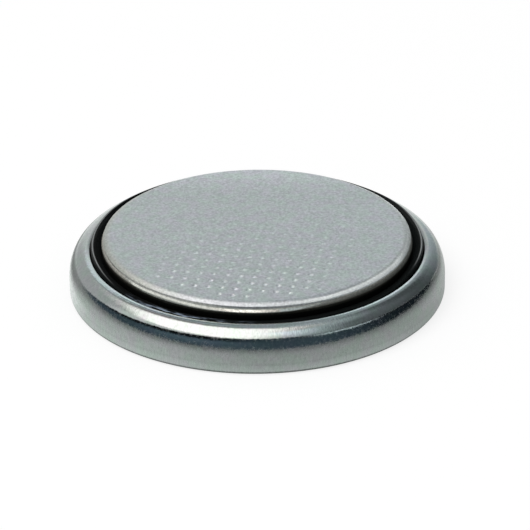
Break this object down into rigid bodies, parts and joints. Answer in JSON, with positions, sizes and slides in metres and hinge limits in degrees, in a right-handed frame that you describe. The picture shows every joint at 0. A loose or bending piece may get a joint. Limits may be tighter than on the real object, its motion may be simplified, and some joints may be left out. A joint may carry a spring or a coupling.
{
  "type": "lithium coin cell",
  "caption": "Flat round lithium coin cell: crimped steel can, black sealing ring and raised round cap with a dimpled satin face.",
  "frame": {"origin": "middle of the can's flat outside face, which is the positive contact, on the surface that the cell lies on", "axes": "+Z along the cell's axis, from the positive face to the negative face; X and Y are free, as the cell is round"},
  "size_m": [0.02, 0.02, 0.0032],
  "materials": {
    "can_steel": "nickel-plated drawn stainless steel, bright with fine upright drawing lines",
    "gasket_plastic": "black moulded polypropylene, satin",
    "cap_steel": "satin steel face with a square lattice of small dimples, bright rolled edge",
    "mesh_steel": "plain metal mesh",
    "cathode_powder": "pressed black powder, matt",
    "separator_fleece": "white non-woven fleece",
    "lithium_metal": "soft bare metal, matt silver"
  },
  "bodies": {
    "root": {"positive_can": "can_steel", "sealing_gasket": "gasket_plastic", "negative_cap": "cap_steel", "current_collector": "mesh_steel", "cathode_pellet": "cathode_powder", "separator": "separator_fleece", "lithium_anode": "lithium_metal"}
  },
  "joints": []
}
